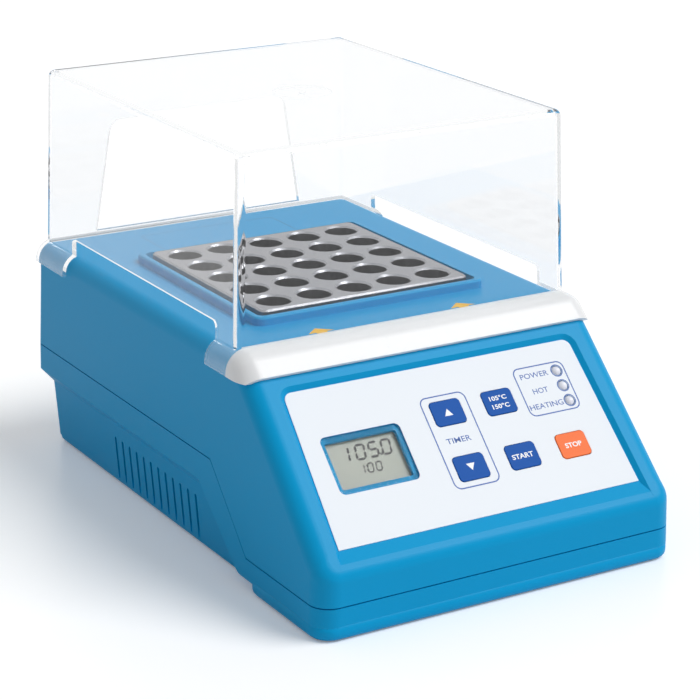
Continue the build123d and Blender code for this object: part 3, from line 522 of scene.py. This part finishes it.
def barShape(ends, cell):
    # A bar between two points with pointed ends: six corners about its middle line
    x0, s0, x1, s1 = ends
    start = np.array([cell["x"] + x0 * cell["wide"], cell["low"] + s0 * cell["tall"] / 2])
    end = np.array([cell["x"] + x1 * cell["wide"], cell["low"] + s1 * cell["tall"] / 2])
    along = (end - start) / np.linalg.norm(end - start)
    across = np.array([-along[1], along[0]]) * cell["bar"] / 2
    start, end = start + along * cell["bar"] * 0.62, end - along * cell["bar"] * 0.62
    tip = along * cell["bar"] / 2
    corners = np.array([start - tip, start - across, end - across, end + tip, end + across, start + across])
    corners[:, 0] += (corners[:, 1] - cell["low"]) * cell["lean"]
    return corners


for name, row in readout.items():
    for place, (figure, left) in enumerate(row["figures"]):
        cell = dict(row, x=left)
        for bar in litBars[figure]:
            printShape(f"{name}_{place}_{bar}", barShape(barEnds[bar], cell), inksAndShade["digit"], onPanel,
                       panel["displayTop"], "case")
dots = {"point": (-40.1, 40.2, 1.1), "colon_low": (-49.6, 34.4, 0.5), "colon_high": (-49.2, 36.3, 0.5)}
for name, (x, s, size) in dots.items():
    printShape(name + "_dot", [(x, s), (x + size, s), (x + size, s + size), (x, s + size)], inksAndShade["digit"],
               onPanel, panel["displayTop"], "case")
printWords("degree_word", "°C", (-31.4, -29.3, 45.7, 48.0), inksAndShade["digit"], onPanel,
           panel["displayTop"], "case")
print("display figures set")

arrow = {"head": 13.4, "stem": 5.6, "tall": 9.6, "neck": 6.0, "tip": -50.6}
for name, x in (("left", -40.5), ("right", 36.2)):
    half, stem = arrow["head"] / 2, arrow["stem"] / 2
    tip, neck, foot = arrow["tip"], arrow["tip"] - arrow["neck"], arrow["tip"] - arrow["tall"]
    printShape(name + "_arrow", [(x, tip), (x - half, neck), (x - stem, neck), (x - stem, foot),
                                 (x + stem, foot), (x + stem, neck), (x + half, neck)],
               inksAndShade["yellow"], onTop, 0.0, "case")
# the top's engraved groove, drawn as a thin band of painted shade
printBand("top_outline", (-3.5, 113.5), (75.0, 29.0), 3.0, 0.5, inksAndShade["grooveShade"], onTop)

# Deeper foot of the tray

footing = {
    "top": 8.0,         # millimetres; it starts behind the tray's wall and closes the gap to the floor
    "low": 0.4,
    "edge": 2.8,        # rounding of the lower edge
    "front": {"x": 94.7, "y": (-149.98, -81.5), "corner": 10.0},
    "tub": {"x": 88.6, "y": (-90.0, 138.6), "corner": 6.0},
}


def footWall(name, half, ends, corner):
    # A rounded rectangle drawn in by a quarter circle towards its lower edge, and closed flat below
    turn = np.linspace(0, math.pi / 2, 7)
    level = np.concatenate([[footing["top"]], footing["low"] + footing["edge"] * (1 - np.sin(turn))])
    inset = np.concatenate([[0.0], footing["edge"] * (1 - np.cos(turn))])
    centre = (0.0, (ends[0] + ends[1]) / 2)
    rings = [roundedBand(centre, (2 * half - 2 * i, ends[1] - ends[0] - 2 * i), corner - i, 0.0)
             for i in inset]
    x = np.stack([ring[0][:, 0] for ring in rings])
    y = np.stack([ring[1][:, 0] for ring in rings])
    count = x.shape[1]
    points = np.stack([x, y, np.broadcast_to(level[:, None], x.shape)], -1) / 1000.0
    i, j = np.meshgrid(np.arange(len(level) - 1), np.arange(count), indexing="ij")
    k = (j + 1) % count
    quads = np.stack([i * count + j, (i + 1) * count + j, (i + 1) * count + k, i * count + k], -1)
    last = (len(level) - 1) * count
    faces = quads.reshape(-1, 4).tolist() + [(last + np.arange(count)[::-1]).tolist(), list(range(count))]
    piece = addPiece(name, points, faces, bpy.data.materials["casing"], "case")
    piece.data.polygons.foreach_set("use_smooth", [True] * (len(faces) - 2) + [False, False])


for name in ("front", "tub"):
    footWall("foot_" + name, footing[name]["x"], footing[name]["y"], footing[name]["corner"])
print("foot of the tray closed")

# Floor, light and camera


def buildFloor():
    # One level square, large enough that its edge is never seen
    half = room["floorHalf"]
    corners = np.array([(-half, -half, 0), (half, -half, 0), (half, half, 0), (-half, half, 0)])
    mesh = bpy.data.meshes.new("floor")
    mesh.from_pydata(corners.tolist(), [], [(0, 1, 2, 3)])
    material, wire, place = startMaterial("floorPaint")
    cloud = noise(wire, place, room["floorCloud"])
    tone = cloud.mixed(scaled(room["floorColour"], 0.995), scaled(room["floorColour"], 1.005))
    seen = wire.make("LightPath", out="Is Camera Ray")
    through = wire.make("LightPath", out="Is Transmission Ray")
    shown = wire.maths("MAXIMUM", seen, through)
    tone = shown.mixed(tone, room["floorSeen"])
    glow = shown.mixed((0, 0, 0, 1), room["floorGlow"])
    closeMaterial(wire, wire.make("BsdfPrincipled", {}, {
        "Base Color": tone, "Roughness": cloud * 0.02 + room["floorRough"],
        "Specular IOR Level": room["floorShine"], "Emission Color": glow, "Emission Strength": 1.0}))
    mesh.materials.append(material)
    floor = bpy.data.objects.new("floor", mesh)
    bpy.context.scene.collection.objects.link(floor)


def lightRoom():
    # Even light from all round, white where it is seen, and two soft suns
    world = bpy.context.scene.world or bpy.data.worlds.new("room")
    bpy.context.scene.world = world
    world.use_nodes = True
    world.node_tree.nodes.clear()
    wire = Wire(world.node_tree)
    seen = wire.make("LightPath", out="Is Camera Ray")
    mirrored = wire.make("LightPath", out="Is Glossy Ray")
    through = wire.make("LightPath", out="Is Transmission Ray")
    shown = wire.maths("MAXIMUM", wire.maths("MAXIMUM", seen, mirrored), through)
    level = shown * (room["white"] - room["fill"]) + room["fill"]
    glow = wire.make("Background", {}, {"Color": (1, 1, 1, 1), "Strength": level})
    wire.make("OutputWorld", {}, {"Surface": glow})
    for name, lamp in lamps.items():
        light = bpy.data.lights.new(name, "SUN")
        light.energy, light.angle = lamp["power"], math.radians(lamp["spread"])
        holder = bpy.data.objects.new(name, light)
        aim = np.array(lamp["aim"]) / np.linalg.norm(lamp["aim"])
        # a sun shines along its own -Z: tilt from straight down, then turn to the aim's bearing
        holder.rotation_euler = (math.acos(-aim[2]), 0.0, math.atan2(aim[0], -aim[1]) + math.pi)
        bpy.context.scene.collection.objects.link(holder)


def placeCamera():
    # Upright camera at the photograph's viewing angle
    lens = bpy.data.cameras.new("view")
    lens.lens, lens.sensor_width, lens.clip_end = camera["lens"], 36.0, 20.0
    holder = bpy.data.objects.new("view", lens)
    holder.location = camera["place"]
    holder.rotation_euler = (math.radians(camera["tilt"]), 0.0, math.radians(camera["turn"]))
    bpy.context.scene.collection.objects.link(holder)
    bpy.context.scene.camera = holder


buildFloor()
lightRoom()
placeCamera()
bpy.context.scene.view_settings.view_transform = "Standard"
print("floor, light and camera set")
